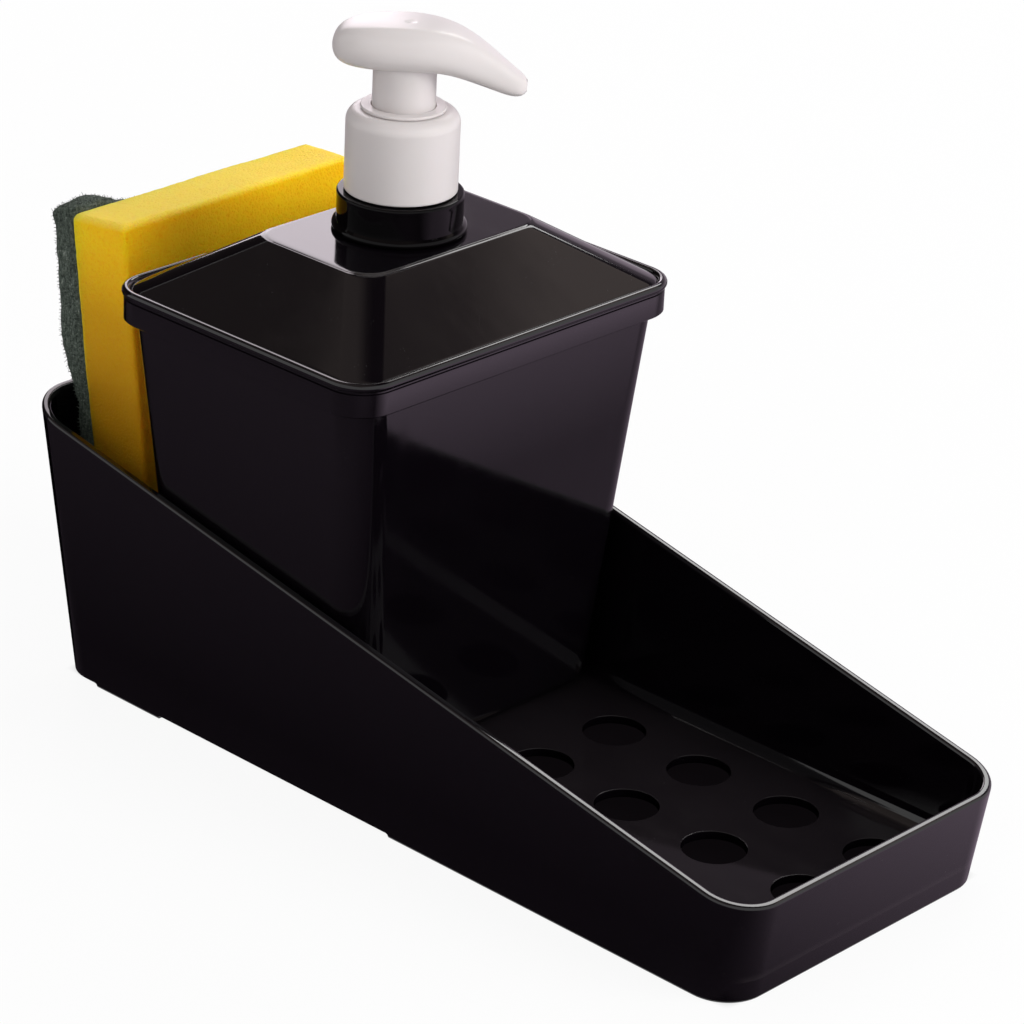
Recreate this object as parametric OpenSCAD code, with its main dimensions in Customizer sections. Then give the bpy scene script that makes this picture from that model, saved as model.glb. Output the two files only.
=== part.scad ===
// Soap pump caddy: a one-piece tray that slopes from a tall back to a low front, a lidded soap
// container with a lotion pump standing in it, and a scouring sponge in the slot behind.
// +X points to the low front end, +Z is up. The origin is at the middle of the object's
// footprint, on the surface that it stands on.

/* [Tray] */
// Length of the tray where it meets the table
tray_len = 228; // [215:1:250]
// Width of the tray where it meets the table
tray_w = 94; // [86:1:110]
// Height of the rim at the back
back_h = 74; // [60:1:90]
// Height of the rim at the front
front_h = 26; // [20:1:34]
// Outward lean of the two end walls, in degrees
end_draft = 8; // [5:0.5:10]
// Outward lean of the two side walls, in degrees
side_draft = 4; // [4:0.5:6]
// Thickness of the tray's walls
tray_wall = 2.4; // [1.8:0.1:2.8]
// Thickness of the tray's floor
tray_floor_t = 2.4; // [1.8:0.1:3]
// Height of the floor's upper face over the table
floor_z = 6; // [5:0.5:10]
// Radius of the tray's upright corners at the table
tray_corner_r = 10.7; // [9:0.1:14]
// Radius of the tray's upright corners at the back rim
tray_rim_r = 15.3; // [12:0.1:18]
// Radius of the fillet between the floor and the walls
floor_fillet = 4.5; // [2:0.5:6]
// How far the wall's lower edge is relieved between the moulded feet
foot_relief = 1.1; // [0.5:0.1:2]
// Distance from the back end to the small rear feet
rear_foot_inset = 15; // [12:1:25]
// Length of the small rear feet
rear_foot_len = 23; // [15:1:30]
// Distance from the back end to the start of the long front feet
front_foot_inset = 120; // [100:1:140]

/* [Drain holes] */
// Diameter of a drain hole
drain_d = 16; // [8:0.5:18]
// Distance between drain holes along the tray
drain_pitch_x = 28.1; // [22:0.1:30]
// Distance from the tray's side at the table to the centre of the outer row of drain holes
drain_side_inset = 20.6; // [19:0.1:27]
// Columns of drain holes in the front bay
drain_cols = 4; // [1:1:4]
// Rows of drain holes across the tray
drain_rows = 3; // [1:2:3]
// Distance from the front end to the centre of the first column
drain_front_inset = 17.6; // [17:0.1:24]
// Distance from the back end to the centre of the column under the sponge
drain_back_inset = 20; // [17:0.5:26]

/* [Container] */
// Distance from the tray's back end to the container's centre
container_inset = 70.5; // [70:0.5:76]
// Length of the container's foot along the tray
container_foot_len = 67.4; // [60:0.1:68]
// Distance from the tray's side at the table to the side of the container's foot
container_side_inset = 4; // [4:0.1:9]
// Length of the container's mouth along the tray
container_mouth_len = 82.9; // [78:0.1:84]
// How far each side of the container leans out between its foot and its mouth
container_flare = 10.2; // [6:0.1:10.5]
// Height of the container from the tray's floor to its mouth
container_h = 108.4; // [100:0.1:125]
// Thickness of the container's walls
container_wall = 2.2; // [1.6:0.1:3]
// Radius of the container's upright corners
container_corner_r = 9; // [7.5:0.5:12]
// Radius of the edge round the container's base
container_base_r = 5; // [5:0.5:7]

/* [Lid] */
// Gap between the container's mouth and the inside of the lid's skirt
lid_fit = 0.5; // [0.3:0.1:1]
// Thickness of the lid's skirt
skirt_t = 1.5; // [1.2:0.1:2]
// Height of the lid's skirt below its roof
skirt_h = 8.6; // [6:0.1:12]
// Height of the rolled bead round the top of the skirt
bead_h = 2.3; // [1.6:0.1:3]
// How far the bead stands out from the skirt
bead_out = 0.5; // [0.3:0.1:1]
// Thickness of the lid's roof
roof_t = 2.2; // [1.6:0.1:2.6]
// Rise of the sloping roof from its edge to its flat top
roof_rise = 13.9; // [10:0.1:18]
// Length of the flat top along the tray
plateau_len = 38.6; // [37:0.2:44]
// Width of the flat top across the tray
plateau_w = 60.8; // [50:0.2:66]
// Radius of the corners of the flat top
plateau_r = 7; // [5:0.5:10]
// Radius of the lid's upright corners
lid_corner_r = 10; // [9.5:0.5:13]

/* [Neck ring] */
// Diameter of the bead at the foot of the neck ring
neck_bead_d = 33; // [31.5:0.5:36]
// Height of the bead at the foot of the neck ring
neck_bead_h = 2; // [1.5:0.1:3]
// Diameter of the neck ring above its bead
collar_d = 31; // [29.5:0.1:31]
// Height of the neck ring's collar over the lid
collar_h = 9.7; // [7:0.1:12]
// Outer diameter of the neck that the closure turns on
neck_d = 23.9; // [23.3:0.1:24.3]
// Bore of the neck
neck_bore_d = 20; // [19.8:0.1:20.2]
// Height of the neck over its collar
neck_h = 14.1; // [13:0.1:15]
// Depth of the snap lip under the roof
snap_h = 1.6; // [1.2:0.1:2]
// How far the snap lip reaches under the roof
snap_out = 0.8; // [0.5:0.1:1]

/* [Closure] */
// Outer diameter of the closure
closure_d = 27.6; // [27:0.1:29]
// Thickness of the closure's top
closure_top_t = 2.4; // [2:0.1:2.6]
// Radius of the closure's shoulder
shoulder_r = 3.2; // [2:0.1:3.4]
// Gap between the closure's lower edge and the collar
closure_gap = 0.3; // [0.2:0.1:0.8]
// Radial gap between the closure and the neck
thread_gap = 0.1; // [0.05:0.01:0.1]
// Thickness of the gasket
gasket_t = 1; // [0.6:0.1:1.5]

/* [Pump] */
// Stroke of the pump head
stroke = 8.5; // [6:0.1:8.5]
// Radial gap of parts that slide or turn in one another
run_gap = 0.05; // [0.02:0.01:0.1]
// Diameter of the flange that hangs the pump on the neck
flange_d = 23.6; // [22.5:0.1:23.8]
// Thickness of the housing's flange
flange_t = 1.5; // [1.2:0.1:2]
// Thickness of the chaplet's foot
chaplet_foot_t = 1.6; // [1.2:0.1:2]
// Diameter of the ring that shows on top of the closure
chaplet_ring_d = 20.8; // [20:0.1:21.4]
// Thickness of the ring that shows on top of the closure
chaplet_ring_t = 0.9; // [0.6:0.1:1.2]
// Outer diameter of the chaplet where the closure turns on it
chaplet_d = 18.4; // [18.2:0.1:18.6]
// Thickness of the chaplet's floor
chaplet_floor_t = 1.5; // [1:0.1:2]
// Wall of the housing's cup
cup_wall = 0.9; // [0.8:0.05:1]
// Inner diameter of the pump cylinder
cylinder_d = 12; // [11:0.1:12.4]
// Wall of the pump cylinder
cylinder_wall = 1.1; // [0.8:0.1:1.4]
// Depth of the pump cylinder from the chaplet to the spring seat
cylinder_depth = 31.9; // [30:0.1:38]
// Outer diameter of the stem
stem_d = 7; // [6.4:0.1:7.2]
// Bore of the stem
stem_bore_d = 4.2; // [3.6:0.1:4.6]
// Height of the piston
piston_h = 8; // [6:0.1:9]
// Diameter of the inlet ball
ball_d = 4.4; // [4:0.1:4.6]
// Lift of the inlet ball
ball_lift = 1.2; // [0.8:0.1:1.4]
// Diameter of the spring, measured at the middle of its wire
spring_d = 7.8; // [7.4:0.1:8.4]
// Diameter of the spring's wire
wire_d = 0.9; // [0.7:0.05:1]
// Number of turns of the spring
spring_turns = 6; // [5:1:7]
// Outer diameter of the dip tube
tube_d = 5; // [4.6:0.1:5.4]
// Wall of the dip tube
tube_wall = 0.7; // [0.5:0.1:0.9]
// Depth that the dip tube goes into its socket
tube_grip = 10; // [6:0.5:14]
// Gap between the dip tube and the container's floor
tube_lift = 3; // [2:0.5:8]

/* [Pump head] */
// Outer diameter of the sleeve under the head
sleeve_d = 15.3; // [15:0.1:15.5]
// Wall of the sleeve
sleeve_wall = 1.1; // [0.8:0.1:1.3]
// Length of the sleeve that shows between the closure and the head
sleeve_show = 9.6; // [9.5:0.1:12]
// Length of the sleeve that stays inside the chaplet
sleeve_hidden = 2.4; // [1.5:0.1:3]
// Reach of the nozzle's tip from the pump's axis
nozzle_reach = 29.6; // [24:0.2:34]
// Reach of the head behind the pump's axis
head_back = 16.7; // [13:0.1:18]
// Width of the head
head_w = 19.4; // [18:0.2:22]
// Height of the head above its sleeve
head_h = 11.5; // [10.5:0.1:14]
// Diameter of the channel through the nozzle
nozzle_bore_d = 3; // [2:0.1:3.4]
// Direction in which the nozzle points, in degrees from the tray's front
nozzle_turn = 42; // [0:1:90]

/* [Sponge] */
// Distance from the tray's side at the table to the side of the sponge
sponge_side_inset = 9.5; // [7:0.5:17]
// Length of the sponge, which stands on end
sponge_len = 113; // [90:1:130]
// Thickness of the foam
foam_t = 20; // [14:0.5:20.5]
// Thickness of the scouring pad
pad_t = 6.5; // [4:0.5:7]
// Radius of the foam's upright edges
foam_edge_r = 1.5; // [0.5:0.5:3]
// How far the sponge stands turned in its slot, in degrees
sponge_turn = 2; // [0:0.5:2.5]
// Gap between the sponge and the tray's back wall
sponge_gap = 1; // [0.8:0.1:1.5]

/* [Hidden] */

// Overrun of every cut, and the thickness of the thin discs that hulls are spanned between
over = 1;
skin = 0.02;
fine = 96;
corner_fn = 32;

// Walls lean outwards by these amounts per unit of height
end_slope = tan(end_draft);
side_slope = tan(side_draft);

// The sponge leans along the tray's back wall and is turned a little about its middle. Its
// lower back edge stands on the fillet, at this share of the fillet's height
sponge_seat_share = 0.55;
lean = end_draft;
sponge_t = foam_t + pad_t;
sponge_w = tray_w - 2 * sponge_side_inset;
sponge_z = floor_z + floor_fillet * sponge_seat_share;
wall_in_bottom = tray_wall / cos(end_draft);
pad_foot_inset = wall_in_bottom - sponge_z * end_slope + sponge_gap
    + sponge_w / 2 * sin(sponge_turn);
back_reach = sponge_len * sin(lean) * cos(sponge_turn) - pad_foot_inset
    + sponge_w / 2 * sin(sponge_turn);
front_reach = front_h * end_slope;

// The object's box is centred on the origin, so the tray stands off by half the difference
tray_x = (back_reach - front_reach) / 2;
back_x = tray_x - tray_len / 2;
front_x = tray_x + tray_len / 2;
rim_back_x = back_x - back_h * end_slope;
rim_front_x = front_x + front_h * end_slope;
rim_slope = (front_h - back_h) / (rim_front_x - rim_back_x);
drain_pitch_y = tray_w / 2 - drain_side_inset;
pump_x = back_x + container_inset;

// Widths and heights of the container and the lid
container_foot_w = tray_w - 2 * container_side_inset;
container_mouth_w = container_foot_w + 2 * container_flare;
container_z = floor_z;
mouth_z = container_z + container_h;
roof_edge_z = mouth_z + roof_t;
skirt_z = roof_edge_z - skirt_h;
plateau_z = roof_edge_z + roof_rise;
lid_len = container_mouth_len + 2 * (lid_fit + skirt_t + bead_out);
lid_w = container_mouth_w + 2 * (lid_fit + skirt_t + bead_out);
container_wall_slope_x = (container_mouth_len - container_foot_len) / 2 / container_h;
container_wall_slope_y = (container_mouth_w - container_foot_w) / 2 / container_h;

// Heights of the neck and what is stacked on it
collar_z = plateau_z + collar_h;
neck_z = collar_z + neck_h;
flange_z = neck_z + gasket_t;
chaplet_z = flange_z + flange_t;
closure_z = collar_z + closure_gap;
closure_in_z = chaplet_z + chaplet_foot_t + run_gap;
closure_top_z = closure_in_z + closure_top_t;
closure_bore_r = neck_d / 2 + thread_gap;
ring_z = closure_top_z + run_gap;
ring_top_z = ring_z + chaplet_ring_t;

// Heights of the head and the sleeve, at rest at the top of the stroke
head_z = ring_top_z + sleeve_show;
sleeve_z = ring_top_z - sleeve_hidden;
sleeve_bore_r = sleeve_d / 2 + run_gap;
chaplet_in_z = sleeve_z - stroke - run_gap * 10;
chaplet_low_z = chaplet_in_z - chaplet_floor_t;
cup_r = neck_bore_d / 2 - run_gap;
cup_in_r = cup_r - cup_wall;
stem_hole_r = stem_d / 2 + run_gap;

// Pump cylinder, ball chamber and dip tube socket, from the top down
cup_floor_z = chaplet_low_z - flange_t;
seat_z = chaplet_low_z - cylinder_depth;
cylinder_r = cylinder_d / 2;
chamber_lip = 0.7;
chamber_r = ball_d / 2 + 0.4;
lip_r = ball_d / 2 - 0.2;
port_r = ball_d / 3;
chamber_h = ball_d + ball_lift;
cone_z = seat_z - chamber_lip - chamber_h;
port_z = cone_z - (chamber_r - port_r);
ball_z = cone_z - chamber_r + ball_d / sqrt(2) + run_gap;
socket_top_z = port_z - ball_d / 2;
socket_r = tube_d / 2 + cylinder_wall;
socket_z = socket_top_z - tube_grip;
tube_z = container_z + container_wall + tube_lift;

// Piston train
stem_end_z = chaplet_low_z - piston_h * 0.8;
piston_top_z = stem_end_z + piston_h * 0.4;
piston_low_z = piston_top_z - piston_h;
rod_pin_r = stem_bore_d / 2;
rod_neck_r = rod_pin_r + cylinder_wall / 2;
rod_flange_t = piston_h / 5;
rod_flange_z = piston_low_z - rod_flange_t;
rod_flange_r = spring_d / 2 + wire_d;
rod_guide_r = spring_d / 2 - wire_d;
stem_top_z = head_z - run_gap;

// Head sections from the back to the nozzle's tip. Each row holds the place along the head
// (negative rows are shares of the back reach, positive ones of the nozzle's reach), the half
// width as a share of the head's half width, and the heights of the top and the underside as
// shares of the head's height over its sleeve.
head_shares = [
    [-1.00, 0.10, 0.42, 0.30],
    [-0.97, 0.36, 0.60, 0.16],
    [-0.88, 0.60, 0.76, 0.06],
    [-0.70, 0.81, 0.88, 0.01],
    [-0.40, 0.97, 0.96, 0.00],
    [0.00, 1.00, 1.00, 0.00],
    [0.15, 0.98, 0.99, 0.00],
    [0.30, 0.90, 0.94, -0.02],
    [0.45, 0.77, 0.83, -0.12],
    [0.60, 0.63, 0.59, -0.27],
    [0.74, 0.52, 0.32, -0.40],
    [0.86, 0.44, 0.08, -0.51],
    [0.95, 0.36, -0.08, -0.51],
    [1.00, 0.14, -0.22, -0.38],
];
head_sides = 24;
head_roundness = 2.4;

// Spring: rings per turn and sides of its wire
spring_rings = 8;
wire_sides = 6;

// Upright round corners of a rounded rectangle, as thin discs that a hull is spanned between
module corner_discs(x, z, len, w, r) {
    for (sx = [-1, 1], sy = [-1, 1])
        translate([x + sx * (len / 2 - r), sy * (w / 2 - r), z])
            cylinder(r = r, h = skin, $fn = corner_fn);
}

// One level of the tray's outline, set in from its outer face
module tray_level(z, inset) {
    corner = tray_corner_r + (tray_rim_r - tray_corner_r) * z / back_h - inset;
    corner_discs(tray_x, z, tray_len + 2 * (z * end_slope - inset / cos(end_draft)),
        tray_w + 2 * (z * side_slope - inset / cos(side_draft)), corner);
}

// Space under the sloping rim line
module below_rim() {
    low = -over;
    far_back = rim_back_x - tray_len;
    far_front = rim_front_x + tray_len;
    rotate([90, 0, 0])
        linear_extrude(2 * tray_w, center = true)
            polygon([
                [far_back, low],
                [far_front, low],
                [far_front, front_h + rim_slope * tray_len],
                [far_back, back_h - rim_slope * tray_len],
            ]);
}

// One relief of the wall's lower edge, right across the tray
module foot_gap(from_x, to_x) {
    translate([from_x, -tray_w, -over])
        cube([to_x - from_x, 2 * tray_w, foot_relief + over]);
}

module drain_column(x) {
    for (row = [0 : drain_rows - 1])
        translate([x, (row - (drain_rows - 1) / 2) * drain_pitch_y, 0])
            cylinder(d = drain_d, h = floor_z + over, $fn = fine);
}

module tray() {
    fillet_step = floor_fillet * (1 - cos(45));
    color("#17131a")
        difference() {
            intersection() {
                hull() {
                    tray_level(0, 0);
                    tray_level(back_h + over, 0);
                }
                below_rim();
            }
            hull() {
                tray_level(floor_z, tray_wall + floor_fillet);
                tray_level(floor_z + fillet_step, tray_wall + fillet_step);
                tray_level(floor_z + floor_fillet, tray_wall);
                tray_level(back_h + 2 * over, tray_wall);
            }
            hull() {
                tray_level(-over, tray_wall);
                tray_level(floor_z - tray_floor_t - skin, tray_wall);
            }
            foot_gap(back_x - over, back_x + rear_foot_inset);
            foot_gap(back_x + rear_foot_inset + rear_foot_len, back_x + front_foot_inset);
            for (col = [0 : drain_cols - 1])
                drain_column(front_x - drain_front_inset - col * drain_pitch_x);
            drain_column(back_x + drain_back_inset);
        }
}

// One level of the container's outline, set in from its outer face
module container_level(z, inset) {
    rise = z - container_z;
    corner_discs(pump_x, z, container_foot_len + 2 * (rise * container_wall_slope_x - inset),
        container_foot_w + 2 * (rise * container_wall_slope_y - inset),
        container_corner_r - inset);
}

module container() {
    step = container_base_r * (1 - cos(45));
    inner_r = container_base_r - container_wall;
    inner_z = container_z + container_wall;
    inner_step = inner_r * (1 - cos(45));
    color("#141016")
        difference() {
            hull() {
                container_level(container_z, container_base_r);
                container_level(container_z + step, step);
                container_level(container_z + container_base_r, 0);
                container_level(mouth_z - skin, 0);
            }
            hull() {
                container_level(inner_z, container_base_r);
                container_level(inner_z + inner_step, container_wall + inner_step);
                container_level(inner_z + inner_r, container_wall);
                container_level(mouth_z + over, container_wall);
            }
        }
}

// A rounded rectangle of even size, extruded upwards
module round_prism(x, z, len, w, r, h) {
    translate([x, 0, z])
        linear_extrude(h)
            union() {
                square([len - 2 * r, w], center = true);
                square([len, w - 2 * r], center = true);
                for (sx = [-1, 1], sy = [-1, 1])
                    translate([sx * (len / 2 - r), sy * (w / 2 - r)])
                        circle(r = r, $fn = fine);
            }
}

module lid() {
    skirt_len = lid_len - 2 * bead_out;
    skirt_w = lid_w - 2 * bead_out;
    skirt_r = lid_corner_r - bead_out;
    inner_len = skirt_len - 2 * skirt_t;
    inner_w = skirt_w - 2 * skirt_t;
    shelf = lid_fit + container_wall;
    hole_d = collar_d - neck_bead_h * 2;
    color("#15111a")
        difference() {
            union() {
                round_prism(pump_x, skirt_z, skirt_len, skirt_w, skirt_r,
                    roof_edge_z - skirt_z);
                round_prism(pump_x, roof_edge_z - bead_h, lid_len, lid_w, lid_corner_r,
                    bead_h);
                hull() {
                    corner_discs(pump_x, roof_edge_z - bead_out, lid_len - 2 * bead_h,
                        lid_w - 2 * bead_h, lid_corner_r - bead_h);
                    corner_discs(pump_x, plateau_z - skin, plateau_len, plateau_w, plateau_r);
                }
            }
            round_prism(pump_x, skirt_z - over, inner_len, inner_w, skirt_r - skirt_t,
                mouth_z - skirt_z + over);
            hull() {
                corner_discs(pump_x, mouth_z - over, inner_len - 2 * shelf,
                    inner_w - 2 * shelf, skirt_r - skirt_t);
                corner_discs(pump_x, plateau_z - roof_t - skin, plateau_len - roof_t,
                    plateau_w - roof_t, plateau_r);
            }
            translate([pump_x, 0, mouth_z])
                cylinder(d = hole_d, h = plateau_z, $fn = fine);
        }
}

// Points of a rounded outline corner, from one angle to another
function arc(x, z, r, from, to, steps = 6) =
    [for (i = [0 : steps]) let (a = from + (to - from) * i / steps)
        [x + r * cos(a), z + r * sin(a)]];

// A turned piece on the pump's axis, from its half outline
module turned(points) {
    translate([pump_x, 0, 0])
        rotate_extrude($fn = fine)
            polygon(points);
}

module neck_ring() {
    hole_r = collar_d / 2 - neck_bead_h;
    bead_r = neck_bead_d / 2;
    round = neck_bead_h / 2;
    under_z = plateau_z - roof_t - run_gap;
    color("#121014")
        turned(concat(
            [
                [neck_bore_d / 2, under_z - snap_h],
                [hole_r - run_gap, under_z - snap_h],
                [hole_r + snap_out, under_z - snap_h / 3],
                [hole_r + snap_out, under_z],
                [hole_r - run_gap, under_z],
                [hole_r - run_gap, plateau_z],
            ],
            arc(bead_r - round, plateau_z + round, round, -90, 90),
            arc(collar_d / 2 - round, collar_z - round, round, 0, 90),
            [
                [neck_d / 2, collar_z],
                [neck_d / 2, neck_z],
                [neck_bore_d / 2, neck_z],
            ]
        ));
}

module closure() {
    r = closure_d / 2;
    edge = closure_gap;
    color("#eeecea")
        turned(concat(
            [
                [closure_bore_r, closure_z],
                [r - edge, closure_z],
                [r, closure_z + edge],
            ],
            arc(r - shoulder_r, closure_top_z - shoulder_r, shoulder_r, 0, 90, 8),
            [
                [chaplet_d / 2 + run_gap, closure_top_z],
                [chaplet_d / 2 + run_gap, closure_in_z],
                [closure_bore_r, closure_in_z],
            ]
        ));
}

module gasket() {
    color("#d8d8d4")
        turned([
            [cup_r + run_gap, neck_z],
            [flange_d / 2, neck_z],
            [flange_d / 2, flange_z],
            [cup_r + run_gap, flange_z],
        ]);
}

module pump_housing() {
    outer_r = cylinder_r + cylinder_wall;
    color("#e6e4e0")
        turned([
            [cup_in_r, chaplet_z],
            [flange_d / 2, chaplet_z],
            [flange_d / 2, flange_z],
            [cup_r, flange_z],
            [cup_r, cup_floor_z],
            [outer_r, cup_floor_z],
            [outer_r, cone_z],
            [socket_r, socket_top_z],
            [socket_r, socket_z],
            [tube_d / 2, socket_z],
            [tube_d / 2, socket_top_z],
            [port_r, socket_top_z],
            [port_r, port_z],
            [chamber_r, cone_z],
            [chamber_r, seat_z - chamber_lip],
            [lip_r, seat_z - chamber_lip],
            [lip_r, seat_z],
            [cylinder_r, seat_z],
            [cylinder_r, chaplet_low_z],
            [cup_in_r, chaplet_low_z],
        ]);
}

module chaplet() {
    round = chaplet_ring_t / 2;
    ring_r = chaplet_ring_d / 2;
    color("#efedea")
        turned(concat(
            [
                [sleeve_bore_r, ring_top_z],
                [sleeve_bore_r, chaplet_in_z],
                [stem_hole_r, chaplet_in_z],
                [stem_hole_r, chaplet_low_z],
                [cup_in_r, chaplet_low_z],
                [cup_in_r, chaplet_z],
                [flange_d / 2, chaplet_z],
                [flange_d / 2, chaplet_z + chaplet_foot_t],
                [chaplet_d / 2, chaplet_z + chaplet_foot_t],
                [chaplet_d / 2, ring_z],
            ],
            arc(ring_r - round, ring_z + round, round, -90, 90)
        ));
}

module stem() {
    color("#f0efec")
        turned([
            [stem_bore_d / 2, stem_end_z],
            [stem_d / 2, stem_end_z],
            [stem_d / 2, stem_top_z],
            [stem_bore_d / 2, stem_top_z],
        ]);
}

module piston_rod() {
    guide_z = rod_flange_z - piston_h / 2;
    pin_z = stem_end_z + piston_h;
    channel_r = rod_pin_r / 2;
    color("#dcdad6")
        difference() {
            turned([
                [0, guide_z],
                [rod_guide_r, guide_z],
                [rod_guide_r, rod_flange_z],
                [rod_flange_r, rod_flange_z],
                [rod_flange_r, rod_flange_z + rod_flange_t],
                [rod_neck_r, rod_flange_z + rod_flange_t],
                [rod_neck_r, stem_end_z],
                [rod_pin_r, stem_end_z],
                [rod_pin_r, pin_z],
                [0, pin_z],
            ]);
            // Soap rises through a cross hole above the flange and up the middle of the rod
            translate([pump_x, 0, piston_low_z + channel_r])
                cylinder(r = channel_r, h = pin_z, $fn = fine);
            translate([pump_x, 0, piston_low_z + 3 * channel_r])
                rotate([90, 0, 0])
                    cylinder(r = channel_r / 2, h = 4 * rod_neck_r, center = true, $fn = fine);
        }
}

module piston() {
    lip_t = piston_h / 8;
    body_r = cylinder_r - 2 * cylinder_wall;
    lip_r_out = cylinder_r - run_gap;
    mid_z = (piston_top_z + piston_low_z) / 2;
    color("#cfd3d6")
        turned([
            [rod_neck_r + run_gap, piston_low_z],
            [body_r, piston_low_z],
            [lip_r_out, piston_low_z],
            [lip_r_out, piston_low_z + lip_t],
            [body_r, mid_z - lip_t],
            [body_r, mid_z + lip_t],
            [lip_r_out, piston_top_z - lip_t],
            [lip_r_out, piston_top_z],
            [body_r, piston_top_z],
            [stem_hole_r, piston_top_z],
            [stem_hole_r, stem_end_z - run_gap],
            [rod_neck_r + run_gap, stem_end_z - run_gap],
        ]);
}

// Centre line of the spring and the frame that its wire is swept in
spring_low_z = seat_z + wire_d / 2;
spring_high_z = rod_flange_z - wire_d / 2;
spring_steps = spring_turns * spring_rings;
spring_pitch = (spring_high_z - spring_low_z) / spring_turns;
spring_climb = atan(spring_pitch / (PI * spring_d));

function spring_point(step, side) =
    let (
        turn = 360 * step / spring_rings,
        around = 360 * side / wire_sides,
        out = spring_d / 2 + wire_d / 2 * cos(around),
        along = -wire_d / 2 * sin(around) * sin(spring_climb),
        up = wire_d / 2 * sin(around) * cos(spring_climb)
    )
    [
        out * cos(turn) - along * sin(turn),
        out * sin(turn) + along * cos(turn),
        spring_low_z + (spring_high_z - spring_low_z) * step / spring_steps + up,
    ];

// Faces of a tube of rings, each ring one row of points, closed at both ends
function tube_faces(rings, sides) = concat(
    [for (i = [0 : rings - 2], j = [0 : sides - 1])
        [i * sides + j, i * sides + (j + 1) % sides, (i + 1) * sides + j]],
    [for (i = [0 : rings - 2], j = [0 : sides - 1])
        [i * sides + (j + 1) % sides, (i + 1) * sides + (j + 1) % sides, (i + 1) * sides + j]],
    [for (j = [1 : sides - 2]) [0, j + 1, j]],
    [for (j = [1 : sides - 2])
        [(rings - 1) * sides, (rings - 1) * sides + j, (rings - 1) * sides + j + 1]]
);

module return_spring() {
    gap = spring_pitch * cos(spring_climb) - wire_d;
    echo(least_gap_between_turns = gap);
    color("#b9bcc0")
        translate([pump_x, 0, 0])
            polyhedron(
                points = [for (i = [0 : spring_steps], j = [0 : wire_sides - 1])
                    spring_point(i, j)],
                faces = tube_faces(spring_steps + 1, wire_sides)
            );
}

module inlet_ball() {
    color("#c3c6c9")
        translate([pump_x, 0, ball_z])
            sphere(d = ball_d, $fn = fine);
}

module dip_tube() {
    color("#e9e9e6")
        turned([
            [tube_d / 2 - tube_wall, tube_z],
            [tube_d / 2, tube_z],
            [tube_d / 2, socket_top_z],
            [tube_d / 2 - tube_wall, socket_top_z],
        ]);
}

// A point of one head section: a rounded box that is as wide and high as its row says
function head_point(row, side) =
    let (
        a = 360 * side / head_sides,
        along = row[0] < 0 ? row[0] * head_back : row[0] * nozzle_reach,
        mid = head_h * (row[2] + row[3]) / 2,
        half_h = head_h * (row[2] - row[3]) / 2,
        half_w = head_w / 2 * row[1],
        power = 2 / head_roundness
    )
    [
        along,
        -half_w * sign(cos(a)) * pow(abs(cos(a)), power),
        head_z + mid + half_h * sign(sin(a)) * pow(abs(sin(a)), power),
    ];

module pump_head() {
    tip = head_shares[len(head_shares) - 2];
    tip_z = head_z + head_h * (tip[2] + tip[3]) / 2;
    inlet_z = head_z + nozzle_bore_d / 2;
    droop = atan2(inlet_z - tip_z, nozzle_reach);
    core_r = stem_d / 2 + sleeve_wall;
    color("#f2f0ee")
        translate([pump_x, 0, 0])
            rotate([0, 0, nozzle_turn])
                difference() {
                    union() {
                        polyhedron(
                            points = [for (row = head_shares, side = [0 : head_sides - 1])
                                head_point(row, side)],
                            faces = tube_faces(len(head_shares), head_sides)
                        );
                        translate([0, 0, sleeve_z])
                            cylinder(d = sleeve_d, h = head_z + head_h / 4 - sleeve_z,
                                $fn = fine);
                    }
                    // Hollow between the sleeve and the socket that grips the stem
                    translate([0, 0, sleeve_z - over])
                        difference() {
                            cylinder(r = sleeve_d / 2 - sleeve_wall,
                                h = head_z - sleeve_z, $fn = fine);
                            cylinder(r = core_r, h = head_z, $fn = fine);
                        }
                    translate([0, 0, sleeve_z - over])
                        cylinder(d = stem_d, h = stem_top_z - sleeve_z + over, $fn = fine);
                    translate([0, 0, sleeve_z])
                        cylinder(d = stem_bore_d, h = inlet_z - sleeve_z, $fn = fine);
                    translate([0, 0, inlet_z])
                        rotate([0, 90 + droop, 0])
                            cylinder(d = nozzle_bore_d, h = nozzle_reach + head_back,
                                $fn = fine);
                }
}

// Places a piece that is drawn standing on its lower back edge into the leaning sponge
module leaning() {
    translate([back_x + pad_foot_inset, 0, sponge_z])
        rotate([0, 0, -sponge_turn])
            rotate([0, -lean, 0])
                children();
}

// One slab of the sponge, with rounded upright edges
module slab(from_t, to_t, edge_r) {
    hull()
        for (t = [from_t + edge_r, to_t - edge_r], side = [-1, 1])
            translate([t, side * (sponge_w / 2 - edge_r), 0])
                cylinder(r = edge_r, h = sponge_len, $fn = corner_fn);
}

module sponge_foam() {
    color("#f6bf17")
        leaning()
            slab(pad_t, sponge_t, foam_edge_r);
}

module scouring_pad() {
    color("#4b5f55")
        leaning()
            slab(0, pad_t, foam_edge_r);
}

tray();
container();
lid();
neck_ring();
closure();
gasket();
pump_housing();
chaplet();
stem();
pump_head();
piston_rod();
piston();
return_spring();
inlet_ball();
dip_tube();
sponge_foam();
scouring_pad();
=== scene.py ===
import math

import bmesh
import bpy
from mathutils import Matrix, Vector, noise


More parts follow.
